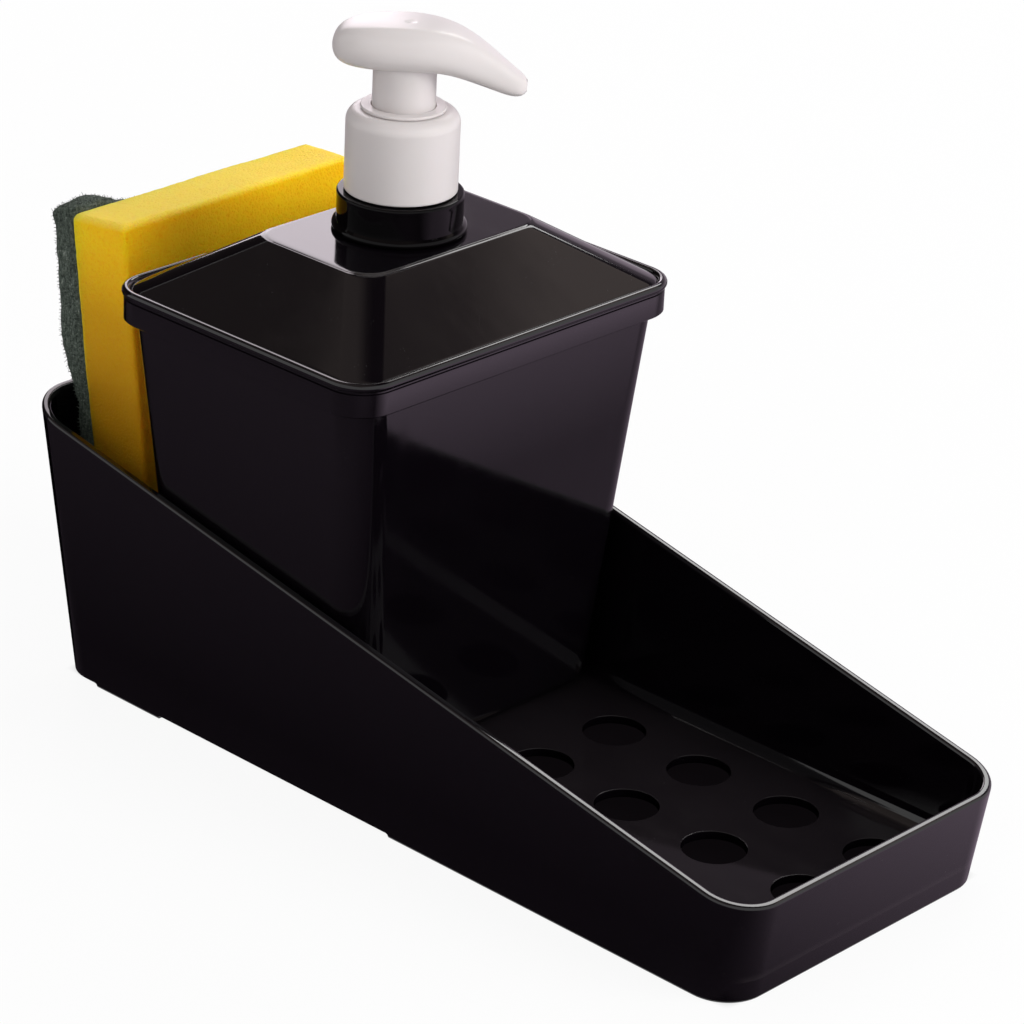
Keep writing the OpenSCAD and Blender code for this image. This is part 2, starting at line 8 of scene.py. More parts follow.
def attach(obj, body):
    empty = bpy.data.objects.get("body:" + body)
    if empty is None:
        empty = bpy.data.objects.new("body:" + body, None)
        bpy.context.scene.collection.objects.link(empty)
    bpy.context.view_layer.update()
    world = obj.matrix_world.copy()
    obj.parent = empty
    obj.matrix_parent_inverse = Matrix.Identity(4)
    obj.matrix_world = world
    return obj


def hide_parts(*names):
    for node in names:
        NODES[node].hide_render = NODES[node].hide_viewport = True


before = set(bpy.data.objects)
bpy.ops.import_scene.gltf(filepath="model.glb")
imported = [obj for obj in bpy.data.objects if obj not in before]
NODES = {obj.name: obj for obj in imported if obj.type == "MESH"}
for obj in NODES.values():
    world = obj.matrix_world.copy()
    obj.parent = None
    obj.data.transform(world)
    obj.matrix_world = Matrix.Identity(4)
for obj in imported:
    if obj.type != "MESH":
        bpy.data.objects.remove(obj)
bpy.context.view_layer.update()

# Sizes in millimetres, as the CAD has them; a finished piece is scaled to metres
MM = 0.001

# Tray: outline on the table, corner radius there and its gain up to the back rim, the lean of
# its walls, and its rim plane
TRAY_X, TRAY_BACK = 4.915, -109.085
TRAY_LEN, TRAY_W, TRAY_CORNER, CORNER_GAIN = 228.0, 94.0, 10.7, 4.6
END_LEAN, SIDE_LEAN = math.radians(8), math.radians(4)
TRAY_WALL, FLOOR_Z, FLOOR_T, FILLET = 2.4, 6.0, 2.4, 4.5
BACK_H, FRONT_H, RIM_BACK_X, RIM_FRONT_X, RIM_R = 74.0, 26.0, -119.485, 122.569, 0.85
HOLE_R, HOLE_LIP, HOLE_CHAMFER = 8.0, 0.1, 0.4
HOLE_COLUMNS, HOLE_ROWS = (-89.085, 17.015, 45.115, 73.215, 101.315), (-26.4, 0.0, 26.4)
FOOT_H, FOOT_R = 1.1, 0.8

# Soap container: outline on the tray's floor, and how far its sides lean out per millimetre
PUMP_X = -38.585
CUP_LEN, CUP_W, CUP_CORNER = 67.4, 86.0, 9.0
CUP_END_SLOPE, CUP_SIDE_SLOPE = 0.0714945, 0.0940959
CUP_WALL, CUP_BASE_R, CUP_LIP_R, MOUTH_Z = 2.2, 5.0, 0.6, 114.4

# Lid: outline over its bead, inside of its skirt, and its flat top
LID_LEN, LID_W, LID_CORNER, LID_CORNER_LEAST = 87.9, 111.4, 10.0, 7.5
SKIRT_LEN, SKIRT_W, SKIRT_CORNER, SKIRT_SET_IN = 83.9, 107.4, 8.0, 0.5
PLATEAU_LEN, PLATEAU_W, PLATEAU_CORNER = 38.6, 60.8, 7.0
SKIRT_Z, ROOF_EDGE_Z, PLATEAU_Z = 108.0, 116.6, 130.5
ROOF_T, BEAD_R, GUTTER_IN, GUTTER_DROP, PUMP_HOLE_R = 2.2, 1.15, 2.9, 0.4, 13.5

# Pump
COLLAR_Z, COLLAR_R = 140.2, 15.5
HEAD_Z, HEAD_H, NOZZLE_TURN = 171.4, 11.5, math.radians(42)
SLEEVE_R, SLEEVE_IN_R, SLEEVE_Z = 7.65, 6.55, 159.4

# Sponge: its foam and its scouring pad
SPONGE_W, SPONGE_LEN, SPONGE_T, PAD_T = 75.0, 113.0, 26.5, 6.5


# ---- Outlines ----

def rounded(x, z, length, width, radius, bends=10, flats=6):
    """Points round a rounded rectangle, counter-clockwise from its +X side"""
    points = []
    for corner, (sx, sy) in enumerate(((1, 1), (-1, 1), (-1, -1), (1, -1))):
        middle = Vector((x + sx * (length / 2 - radius), sy * (width / 2 - radius), z))
        start = len(points)
        for step in range(bends + 1):
            angle = math.radians(90 * (corner + step / bends))
            points.append(middle + radius * Vector((math.cos(angle), math.sin(angle), 0)))
        if corner:
            before, after = points[start - 1], points[start]
            points[start:start] = [before.lerp(after, i / flats) for i in range(1, flats)]
    before, after = points[-1], points[0]
    return points + [before.lerp(after, i / flats) for i in range(1, flats)]


def tray_outline(z, inset):
    """The tray's outline at a height, set in from its outer face"""
    return rounded(
        TRAY_X, z,
        TRAY_LEN + 2 * (z * math.tan(END_LEAN) - inset / math.cos(END_LEAN)),
        TRAY_W + 2 * (z * math.tan(SIDE_LEAN) - inset / math.cos(SIDE_LEAN)),
        TRAY_CORNER + CORNER_GAIN * z / BACK_H - inset, bends=14)


def cup_outline(z, inset):
    """The soap container's outline at a height, set in from its outer face"""
    rise = z - FLOOR_Z
    return rounded(
        PUMP_X, z, CUP_LEN + 2 * (rise * CUP_END_SLOPE - inset),
        CUP_W + 2 * (rise * CUP_SIDE_SLOPE - inset), CUP_CORNER - inset)


def lid_outline(z, inset):
    """The lid's outline, set in from its rolled bead"""
    radius = max(LID_CORNER - inset, LID_CORNER_LEAST)
    return rounded(PUMP_X, z, LID_LEN - 2 * inset, LID_W - 2 * inset, radius)


def skirt_outline(z, inset=0.0):
    """The outline of the inside of the lid's skirt"""
    return rounded(PUMP_X, z, SKIRT_LEN - 2 * inset, SKIRT_W - 2 * inset, SKIRT_CORNER)


def plateau_outline(z, grow=0.0):
    """The outline of the lid's flat top"""
    return rounded(
        PUMP_X, z, PLATEAU_LEN + 2 * grow, PLATEAU_W + 2 * grow, PLATEAU_CORNER + grow)


def between(first, last, share, z):
    """Points part of the way from one outline to another, all at one height"""
    mixed = [a.lerp(b, share) for a, b in zip(first, last)]
    return [Vector((p.x, p.y, z)) for p in mixed]


def round_hole(outline, radius, z):
    """The outline's points, drawn in to a circle round the pump's axis"""
    points = []
    for p in outline:
        angle = math.atan2(p.y, p.x - PUMP_X)
        points.append(Vector((PUMP_X + radius * math.cos(angle), radius * math.sin(angle), z)))
    return points


def quarter(start, end, steps):
    """Shares (sine, 1 - cosine) of a quarter round, from one angle in degrees to another"""
    for i in range(steps + 1):
        angle = math.radians(start + (end - start) * i / steps)
        yield math.sin(angle), 1 - math.cos(angle)


# ---- Building pieces ----

class Wall:
    """A wall that grows ring by ring; each point keeps its place number as it is extruded"""

    def __init__(self, bm, points):
        self.bm = bm
        self.place = bm.verts.layers.int.new("place")
        made = bmesh.ops.create_circle(bm, cap_ends=False, segments=len(points), radius=1)
        for number, vert in enumerate(made["verts"]):
            vert[self.place] = number
            vert.co = points[number]
        self.ring = made["verts"]

    def edges(self):
        """The last ring's edges, in the same order each run"""
        ring = set(self.ring)
        found = (e for v in self.ring for e in v.link_edges if e.other_vert(v) in ring)
        return list(dict.fromkeys(found))

    def grow(self, points):
        """Extrudes the last ring and moves it to the points"""
        made = bmesh.ops.extrude_edge_only(self.bm, edges=self.edges())["geom"]
        self.ring = [v for v in made if isinstance(v, bmesh.types.BMVert)]
        for vert in self.ring:
            vert.co = points[vert[self.place]]
        return self

    def cap(self):
        """Closes the last ring with one face"""
        bmesh.ops.edgeloop_fill(self.bm, edges=self.edges())
        return self


def spun(bm, outline, steps, x=PUMP_X, y=0.0):
    """Turns a half outline of (radius, height) points about an upright axis"""
    verts = [bm.verts.new((x + r, y, z)) for r, z in outline]
    edges = [bm.edges.new(pair) for pair in zip(verts, verts[1:])]
    bmesh.ops.spin(
        bm, geom=verts + edges, cent=(x, y, 0), axis=(0, 0, 1), dvec=(0, 0, 0),
        angle=2 * math.pi, steps=steps, use_merge=True, use_duplicate=False)
    bmesh.ops.remove_doubles(bm, verts=bm.verts, dist=0.0005)


def arc(r, z, radius, start, end, steps):
    """(radius, height) points of a rounded edge in a half outline, angles in degrees"""
    turn = [math.radians(start + (end - start) * i / steps) for i in range(steps + 1)]
    return [(r + radius * math.cos(a), z + radius * math.sin(a)) for a in turn]


def soften(bm, edges, radius, segments):
    """Rounds edges"""
    bmesh.ops.bevel(
        bm, geom=edges, offset=radius, offset_type="OFFSET", segments=segments,
        profile=0.5, affect="EDGES", clamp_overlap=True, material=-1)


def to_mesh(bm, name, outward=True):
    """Closes the bmesh into a mesh object, in metres"""
    bmesh.ops.scale(bm, vec=(MM, MM, MM), verts=bm.verts)
    if outward:
        bmesh.ops.recalc_face_normals(bm, faces=bm.faces)
    for face in bm.faces:
        face.smooth = True
    mesh = bpy.data.meshes.new(name)
    bm.to_mesh(mesh)
    bm.free()
    piece = bpy.data.objects.new(name, mesh)
    bpy.context.scene.collection.objects.link(piece)
    return piece


def settle(piece):
    """Turns what the piece's modifiers make into its mesh"""
    graph = bpy.context.evaluated_depsgraph_get()
    mesh = bpy.data.meshes.new_from_object(piece.evaluated_get(graph))
    piece.modifiers.clear()
    piece.data = mesh
    return piece


def carve(piece, cutter):
    """Cuts the cutter's shape out of the piece"""
    cut = piece.modifiers.new("cut", "BOOLEAN")
    cut.operation, cut.solver, cut.object = "DIFFERENCE", "EXACT", cutter
    settle(piece)
    bpy.data.objects.remove(cutter)
    return piece


def level_shading(piece, crease):
    """Keeps broad flats flat where they meet rounded edges"""
    piece.data.set_sharp_from_angle(angle=math.radians(crease))
    weighted = piece.modifiers.new("weighted", "WEIGHTED_NORMAL")
    weighted.keep_sharp = True
    weighted.weight = 60
    return piece


def place(piece, body, finish, slot, *nodes):
    """Puts the piece on its body, in place of CAD nodes, with its finish"""
    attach(piece, body)
    if nodes:
        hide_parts(*nodes)
    piece.data.materials.clear()
    piece.data.materials.append(finish)
    return piece


# ---- Finishes ----

class Socket:
    """A number in a material; arithmetic on it adds Math nodes"""

    def __init__(self, finish, link):
        self.finish, self.link = finish, link

    def maths(self, operation, *values):
        return self.finish.node(
            "ShaderNodeMath", {"operation": operation}, dict(enumerate(values)))[0]

    def __add__(self, other):
        return self.maths("ADD", self, other)

    __radd__ = __add__

    def __mul__(self, other):
        return self.maths("MULTIPLY", self, other)

    __rmul__ = __mul__

    def __sub__(self, other):
        return self.maths("SUBTRACT", self, other)

    def __rsub__(self, other):
        return self.maths("SUBTRACT", other, self)

    def __abs__(self):
        return self.maths("ABSOLUTE", self)

    def most(self, other):
        return self.maths("MAXIMUM", self, other)


class Outputs:
    """A node's outputs, by number or by name"""

    def __init__(self, finish, node):
        self.finish, self.made = finish, node

    def __getitem__(self, key):
        return Socket(self.finish, self.made.outputs[key])


class Finish:
    """A procedural material; it has one principled shader unless its kind is None"""

    def __init__(self, name, kind="ShaderNodeBsdfPrincipled", **constants):
        self.material = bpy.data.materials.new(name)
        self.material.use_nodes = True
        self.tree = self.material.node_tree
        self.tree.nodes.clear()
        self.end = self.tree.nodes.new("ShaderNodeOutputMaterial")
        self.shader = None
        if kind:
            self.shader = self.tree.nodes.new(kind)
            self.tree.links.new(self.shader.outputs[0], self.end.inputs[0])
            for socket, value in constants.items():
                self.shader.inputs[socket.replace("_", " ")].default_value = value

    def node(self, kind, settings=None, sockets=None):
        """Any node, with its settings and the values or links of its sockets"""
        made = self.tree.nodes.new(kind)
        for key, value in (settings or {}).items():
            if key == "stops":
                self.stops(made.color_ramp, value)
            else:
                setattr(made, key, value)
        for key, value in (sockets or {}).items():
            self.feed(made.inputs[key], value)
        return Outputs(self, made)

    def stops(self, ramp, stops):
        """Sets a ramp's colours, each at its position"""
        while len(ramp.elements) < len(stops):
            ramp.elements.new(0.5)
        for element, (position, colour) in zip(ramp.elements, stops):
            element.position = position
            element.color = (*colour, 1)

    def feed(self, entry, value):
        if isinstance(value, Socket):
            self.tree.links.new(value.link, entry)
        else:
            entry.default_value = value

    def set(self, **sockets):
        """Feeds the shader's sockets with what changes over the surface"""
        for key, value in sockets.items():
            self.feed(self.shader.inputs[key.replace("_", " ")], value)

    def show(self, shader):
        """Gives the material this shader for its surface"""
        self.tree.links.new(shader.link, self.end.inputs[0])
        return self.material

    def where(self):
        return self.node("ShaderNodeTexCoord")["Object"]

    def axes(self):
        """Object coordinates as three numbers"""
        return self.node("ShaderNodeSeparateXYZ", {}, {0: self.where()})

    def grain(self, scale, detail=3.0, rough=0.55, where=None, stretch=None):
        """Cloudy noise, scale in patches per metre"""
        at = where or self.where()
        if stretch:
            at = self.node("ShaderNodeMapping", {}, {"Vector": at, "Scale": stretch})[0]
        return self.node(
            "ShaderNodeTexNoise", {"noise_dimensions": "3D"},
            {"Vector": at, "Scale": scale, "Detail": detail, "Roughness": rough})["Fac"]

    def cells(self, scale, where=None):
        """Distance from the middle of a cell, scale in cells per metre"""
        return self.node(
            "ShaderNodeTexVoronoi", {"feature": "F1", "distance": "EUCLIDEAN"},
            {"Vector": where or self.where(), "Scale": scale})["Distance"]

    def ramp(self, value, *stops):
        """A colour that follows a number through the stops"""
        return self.node("ShaderNodeValToRGB", {"stops": stops}, {"Fac": value})["Color"]

    def spread(self, value, low, high, to_low=0.0, to_high=1.0):
        """Maps a number from one span to another, clamped"""
        return self.node(
            "ShaderNodeMapRange", {"clamp": True},
            {"Value": value, "From Min": low, "From Max": high,
             "To Min": to_low, "To Max": to_high})["Result"]

    def blend(self, share, first, last):
        """A colour part of the way from one to another"""
        made = self.tree.nodes.new("ShaderNodeMix")
        made.data_type = "RGBA"
        self.feed(made.inputs[0], share)
        for entry, colour in ((made.inputs[6], first), (made.inputs[7], last)):
            self.feed(entry, colour if isinstance(colour, Socket) else (*colour, 1))
        return Socket(self, made.outputs[2])

    def bump(self, height, depth, strength=1.0, below=None):
        """A bump of that depth in metres"""
        sockets = {"Height": height, "Distance": depth, "Strength": strength}
        if below:
            sockets["Normal"] = below
        return self.node("ShaderNodeBump", {}, sockets)["Normal"]


def black_plastic(name, tone, gloss=0.5, painted_floor_light=False):
    """Glossy moulded plastic with a faint wave in its surface, dust and handling marks. With
    painted_floor_light, the draining floor is painted paler than the walls in patches: a painted
    sheen standing in for the light the floor gets from above"""
    f = Finish(name, IOR=1.5, Specular_IOR_Level=gloss)
    clouds = f.grain(22, 3)
    smear = f.grain(55, 5, 0.6, stretch=(1.0, 1.6, 0.5))
    specks = f.spread(f.cells(900), 0.05, 0.11, 1.0, 0.0) * f.spread(f.grain(160, 2), 0.58, 0.64)
    colour = f.blend(clouds, tone, tuple(1.6 * c for c in tone))
    if painted_floor_light:
        # Painted sheen: the floor's face is painted paler, in patches, for the light it catches
        # from above
        at, floor_z = f.axes(), FLOOR_Z * MM
        on_floor = f.spread(at["Z"], floor_z + 0.0016, floor_z)
        on_floor = on_floor * f.spread(at["Z"], floor_z - 0.0004, floor_z - 0.0001)
        on_floor = on_floor * f.spread(abs(at["Y"]), 0.044, 0.041)
        floor_sheen_share = on_floor * f.spread(smear, 0.2, 0.8, 0.65, 1.0)
        colour = f.blend(floor_sheen_share, colour, (0.0115, 0.0092, 0.0108))
    f.set(
        Base_Color=f.blend(specks * 0.25, colour, (0.16, 0.155, 0.16)),
        Roughness=f.spread(smear, 0.42, 0.72, 0.055, 0.13) + specks * 0.25,
        Normal=f.bump(f.grain(2600, 2), 0.000004, 0.5, f.bump(f.grain(30, 2), 0.00006, 0.6)),
    )
    return f.material


def white_plastic(name, tone, rough):
    """Warm white moulded plastic, a little satin"""
    f = Finish(name, IOR=1.48, Subsurface_Weight=0.06, Subsurface_Scale=0.002)
    f.shader.inputs["Subsurface Radius"].default_value = (1.0, 0.7, 0.55)
    clouds = f.grain(70, 3)
    smear = f.grain(180, 4, 0.6)
    f.set(
        Base_Color=f.blend(clouds, tone, tuple(c * 0.975 for c in tone)),
        Roughness=f.spread(smear, 0.35, 0.7, rough - 0.03, rough + 0.03),
        Normal=f.bump(f.grain(3000, 2), 0.000001, 0.3, f.bump(f.grain(60, 2), 0.000005, 0.3)),
    )
    return f.material


def milky_plastic(name, tone, rough=0.32):
    """Uncoloured inner plastic that lets some light through"""
    f = Finish(name, IOR=1.49, Transmission_Weight=0.25)
    f.set(
        Base_Color=f.blend(f.grain(120, 3), tone, tuple(c * 0.93 for c in tone)),
        Roughness=f.spread(f.grain(260, 4), 0.35, 0.7, rough - 0.06, rough + 0.06),
        Normal=f.bump(f.grain(2400, 2), 0.000006, 0.5),
    )
    return f.material


def soft_rubber(name, tone):
    """Matte seal material"""
    f = Finish(name, IOR=1.47)
    f.set(
        Base_Color=f.blend(f.grain(300, 4), tone, tuple(c * 0.85 for c in tone)),
        Roughness=f.spread(f.grain(500, 4), 0.35, 0.7, 0.45, 0.6),
        Normal=f.bump(f.grain(2000, 3), 0.00001, 0.5),
    )
    return f.material


def drawn_steel(name):
    """Stainless spring wire or ball, with drawing marks round it"""
    f = Finish(name, Metallic=1.0)
    marks = f.grain(900, 4, 0.7, stretch=(1.0, 1.0, 6.0))
    f.set(
        Base_Color=f.blend(marks, (0.55, 0.55, 0.56), (0.68, 0.68, 0.69)),
        Roughness=f.spread(marks, 0.3, 0.7, 0.16, 0.32),
        Normal=f.bump(marks, 0.000008, 0.4),
    )
    return f.material


def foam_finish():
    """Cut polyurethane foam: fine open cells with a few larger pits"""
    f = Finish(
        "yellow_foam", IOR=1.4, Specular_IOR_Level=0.25,
        Subsurface_Weight=0.8, Subsurface_Scale=0.008)
    f.shader.inputs["Subsurface Radius"].default_value = (1.0, 0.5, 0.08)
    at, axes = f.where(), f.axes()
    # Metres above the plane of the cut top, which leans with the sponge
    above_cut = axes["Z"] * 0.990 - axes["X"] * 0.139 - axes["Y"] * 0.024 - 0.13566
    sway = f.node("ShaderNodeTexNoise", {}, {"Vector": at, "Scale": 500.0})["Color"]
    wobble = f.node(
        "ShaderNodeVectorMath", {"operation": "MULTIPLY_ADD"},
        {0: sway, 1: (0.0009, 0.0009, 0.0009), 2: at})[0]
    fine = f.spread(f.cells(1500, wobble), 0.15, 0.62)
    coarse = f.spread(f.cells(560, wobble), 0.12, 0.42)
    pits = f.spread(f.cells(170, wobble), 0.04, 0.13)
    height = fine * 0.35 + coarse * 0.25 + pits * 0.4
    # The low cells and pits are painted darker: partly the foam's own tone, partly painted shade
    # in the hollows
    shade = f.ramp(
        height, (0.0, (0.62, 0.26, 0.003)), (0.35, (0.96, 0.47, 0.004)),
        (0.75, (1.0, 0.55, 0.006)), (1.0, (1.0, 0.60, 0.010)))
    clouds = f.spread(f.grain(45, 4), 0.35, 0.7)
    shade = f.blend(clouds * 0.3, shade, (0.97, 0.46, 0.004))
    # Painted shade: its near end is painted browner and darker lower down, towards the tray,
    # standing in for the shade there; painted light: its cut top is painted paler, for the light
    # that falls on it from above
    height_z = axes["Z"]
    painted_end_shade = f.spread(height_z, 0.115, 0.097, 0.0, 0.6) + f.spread(height_z, 0.097, 0.076, 0.0, 0.3)
    # The painted shade is kept to the near end face
    painted_end_shade = painted_end_shade * f.spread(axes["Y"], -0.029, -0.036, 0.15, 1.0)
    shade = f.blend(painted_end_shade, shade, (0.42, 0.19, 0.003))
    # Painted light: the top face is painted paler, for the light that falls on it from above
    painted_top_light = f.spread(above_cut, -0.0018, -0.0004, 0.0, 0.5)
    f.set(
        Base_Color=f.blend(painted_top_light, shade, (1.0, 0.70, 0.15)),
        Roughness=f.spread(f.grain(700, 3), 0.3, 0.7, 0.8, 0.95),
        Normal=f.bump(height, 0.00035, 0.8),
    )
    return f.material


def scouring_finish():
    """Matted green fibres with gritty binder"""
    f = Finish("green_fibre", IOR=1.45)
    at = f.where()
    long_way = f.grain(1500, 5, 0.8, stretch=(1.0, 0.22, 1.4), where=at)
    cross_way = f.grain(1300, 5, 0.8, stretch=(1.2, 1.5, 0.25), where=at)
    mat = long_way.most(cross_way)
    gaps = f.spread(f.cells(800, where=at), 0.05, 0.5)
    height = f.spread(mat, 0.42, 0.70) * 0.75 + gaps * 0.25
    # The fibres are pale and the gaps between them painted dark: partly the fibres' own tone,
    # partly painted shade in the gaps
    shade = f.ramp(
        height, (0.0, (0.007, 0.010, 0.008)), (0.35, (0.042, 0.060, 0.046)),
        (0.7, (0.15, 0.19, 0.155)), (1.0, (0.50, 0.55, 0.49)))
    f.set(
        Base_Color=shade,
        Roughness=f.spread(f.grain(1500, 3), 0.3, 0.7, 0.75, 0.95),
        Normal=f.bump(height, 0.0006, 0.9),
    )
    return f.material


BLACK_SHELL = black_plastic("black_shell", (0.0017, 0.0011, 0.0019))
BLACK_TRAY = black_plastic("black_tray", (0.0017, 0.0011, 0.0019), painted_floor_light=True)
BLACK_RING = black_plastic("black_ring", (0.0012, 0.0009, 0.0012), gloss=0.12)
WHITE_GLOSS = white_plastic("white_gloss", (0.67, 0.627, 0.622), 0.32)
WHITE_INNER = milky_plastic("white_inner", (0.84, 0.83, 0.80))
CLEAR_TUBE = milky_plastic("clear_tube", (0.86, 0.86, 0.84), 0.22)
SEAL = soft_rubber("seal", (0.62, 0.61, 0.58))
SOFT_SEAL = soft_rubber("soft_seal", (0.55, 0.60, 0.62))
STEEL = drawn_steel("steel")
FOAM = foam_finish()
FIBRE = scouring_finish()


# ---- Tray ----

def rim_ring(inset, drop):
    """The tray's outline, set in from its outer face, where it meets the sloping rim plane
    lowered by the drop"""
    along = Vector((RIM_FRONT_X - RIM_BACK_X, 0, FRONT_H - BACK_H)).normalized()
    up = Vector((-along.z, 0, along.x))
    start = Vector((RIM_BACK_X, 0, BACK_H)) - up * drop
    points = []
    for foot, head in zip(tray_outline(0, inset), tray_outline(BACK_H, inset)):
        rise = head - foot
        points.append(foot + rise * ((start - foot).dot(up) / rise.dot(up)))
    return points


def drain_hole():
    """Half outline of what is cut for a drain hole: chamfered below, with a rounded lip"""
    low, high = FLOOR_Z - FLOOR_T, FLOOR_Z
    lip = [(HOLE_R + HOLE_LIP * back, high - HOLE_LIP * (1 - sine))
           for sine, back in quarter(0, 90, 3)]
    foot = [(0, low - 1), (HOLE_R + HOLE_CHAMFER, low - 1), (HOLE_R + HOLE_CHAMFER, low),
            (HOLE_R, low + HOLE_CHAMFER)]
    return foot + lip + [(HOLE_R + HOLE_LIP, high + 1), (0, high + 1)]


def tray_cutters():
    """Drain holes, and the reliefs between the moulded feet"""
    bm = bmesh.new()
    outline = drain_hole()
    for x in HOLE_COLUMNS:
        for y in HOLE_ROWS:
            spun(bm, outline, steps=48, x=x, y=y)
    deep = 3
    for start, end in ((-2, 15), (38, 120)):
        made = bmesh.ops.create_cube(bm, size=1)["verts"]
        bmesh.ops.scale(bm, vec=(end - start, 2 * TRAY_W, deep), verts=made)
        middle = (TRAY_BACK + (start + end) / 2, 0, FOOT_H - deep / 2)
        bmesh.ops.translate(bm, vec=middle, verts=made)
        tops = [e for e in dict.fromkeys(e for v in made for e in v.link_edges)
                if all(v.co.z > 0 for v in e.verts) and e.verts[0].co.x == e.verts[1].co.x]
        soften(bm, tops, FOOT_R, 3)
    return to_mesh(bm, "tray_cutters")


def make_tray():
    """Outer wall, rounded rim, inner wall and raised floor in one closed shell"""
    bm = bmesh.new()
    tray = Wall(bm, tray_outline(FLOOR_Z - FLOOR_T, TRAY_WALL)).cap()
    for z, inset in ((0.35, TRAY_WALL), (0, TRAY_WALL - 0.35), (0, 0.5), (0.15, 0.15), (0.5, 0)):
        tray.grow(tray_outline(z, inset))
    for sine, back in quarter(0, 90, 5):
        tray.grow(rim_ring(RIM_R * back, RIM_R * (1 - sine)))
    for sine, back in quarter(90, 0, 5):
        tray.grow(rim_ring(TRAY_WALL - RIM_R * back, RIM_R * (1 - sine)))
    for sine, back in quarter(90, 0, 7):
        tray.grow(tray_outline(FLOOR_Z + FILLET * back, TRAY_WALL + FILLET * (1 - sine)))
    tray.cap()
    return level_shading(carve(to_mesh(bm, "tray_shell"), tray_cutters()), 50)


place(make_tray(), "tray", BLACK_TRAY, "black_shell", "tray")


# ---- Soap container ----

def make_cup():
    """Rounded base, tapering wall, rounded mouth and inner wall in one closed shell"""
    bm = bmesh.new()
    cup = Wall(bm, cup_outline(FLOOR_Z, CUP_BASE_R)).cap()
    for sine, back in list(quarter(0, 90, 8))[1:]:
        cup.grow(cup_outline(FLOOR_Z + CUP_BASE_R * back, CUP_BASE_R * (1 - sine)))
    for sine, back in quarter(0, 90, 4):
        cup.grow(cup_outline(MOUTH_Z - CUP_LIP_R * (1 - sine), CUP_LIP_R * back))
    for sine, back in quarter(90, 0, 4):
        cup.grow(cup_outline(MOUTH_Z - CUP_LIP_R * (1 - sine), CUP_WALL - CUP_LIP_R * back))
    inner_r = CUP_BASE_R - CUP_WALL
    for sine, back in quarter(90, 0, 6):
        cup.grow(cup_outline(
            FLOOR_Z + CUP_WALL + inner_r * back, CUP_WALL + inner_r * (1 - sine)))
    cup.cap()
    return level_shading(to_mesh(bm, "soap_container"), 50)


place(make_cup(), "container", BLACK_SHELL, "black_shell", "container")


# ---- Lid ----

# Roof rings from the gutter to the flat top, and rings of the flat top from its rounded edge
# towards the pump: share of the way, and how far the ring is lowered
ROOF_RINGS = (
    (0.0, 0.0), (0.015, 0.0), (0.955, 0.0), (0.97, 0.0), (0.985, 0.05), (0.995, 0.14), (1.0, 0.22))
PLATEAU_RINGS = ((0.015, 0.10), (0.035, 0.03), (0.06, 0.0), (0.12, 0.0))


def make_lid():
    """Skirt, groove, rolled bead, gutter, roof and flat top in one closed shell"""
    bm = bmesh.new()
    top = plateau_outline(PLATEAU_Z)
    gutter = lid_outline(ROOF_EDGE_Z, GUTTER_IN)
    lid = Wall(bm, round_hole(top, PUMP_HOLE_R, PLATEAU_Z - ROOF_T))
    start = lid.edges()
    lid.grow(plateau_outline(PLATEAU_Z - ROOF_T, -1.1))
    lid.grow(skirt_outline(MOUTH_Z, 2.7)).grow(skirt_outline(MOUTH_Z))
    lid.grow(skirt_outline(SKIRT_Z + 0.4))
    # A fine groove parts the skirt from its rolled bead
    bead_z = ROOF_EDGE_Z - BEAD_R
    for z, inset in ((SKIRT_Z, 1.1), (SKIRT_Z, 0.4), (SKIRT_Z + 0.4, 0), (bead_z - 1.65, 0),
                     (bead_z - 1.45, 0.35), (bead_z - 1.1, 0.35)):
        lid.grow(lid_outline(z, SKIRT_SET_IN + inset))
    for angle in range(-60, 181, 20):
        turn = math.radians(angle)
        lid.grow(lid_outline(bead_z + BEAD_R * math.sin(turn), BEAD_R * (1 - math.cos(turn))))
    lid.grow(lid_outline(ROOF_EDGE_Z - 0.75, 2.45))
    roof_z = ROOF_EDGE_Z - GUTTER_DROP
    for share, drop in ROOF_RINGS:
        lid.grow(between(gutter, top, share, roof_z + (PLATEAU_Z - roof_z) * share - drop))
    hole = round_hole(top, PUMP_HOLE_R, PLATEAU_Z)
    for share, drop in PLATEAU_RINGS:
        lid.grow(between(top, hole, share, PLATEAU_Z - drop))
    lid.grow(hole)
    bmesh.ops.bridge_loops(bm, edges=lid.edges() + start)
    return level_shading(to_mesh(bm, "lid_shell"), 50)


place(make_lid(), "lid", BLACK_SHELL, "black_shell", "lid")


# ---- Neck ring, closure and chaplet ----

def turned(name, outline, steps=128):
    """A round piece on the pump's axis from a closed half outline"""
    bm = bmesh.new()
    spun(bm, outline + outline[:1], steps)
    return level_shading(to_mesh(bm, name), 35)


# Each profile is a closed half outline of (radius, height) points
WAIST_R = COLLAR_R - 0.08
neck_ring = turned("neck_collar", [
    (10, 126.65), (13.45, 126.65), (14.3, 127.7), (14.3, 128.25), (13.45, 128.25),
    (13.45, PLATEAU_Z)]
    + arc(COLLAR_R, PLATEAU_Z + 1, 1, -90, 60, 9)
    + [(COLLAR_R, PLATEAU_Z + 2.2), (WAIST_R, PLATEAU_Z + 3.2),
       (WAIST_R, COLLAR_Z - 1.9), (COLLAR_R, COLLAR_Z - 1.2)]
    + arc(COLLAR_R - 0.6, COLLAR_Z - 0.6, 0.6, 0, 90, 6)
    + [(11.95, COLLAR_Z), (11.95, 153.9), (11.55, 154.3), (10, 154.3)])
place(neck_ring, "lid", BLACK_RING, "black_ring", "neck_ring")

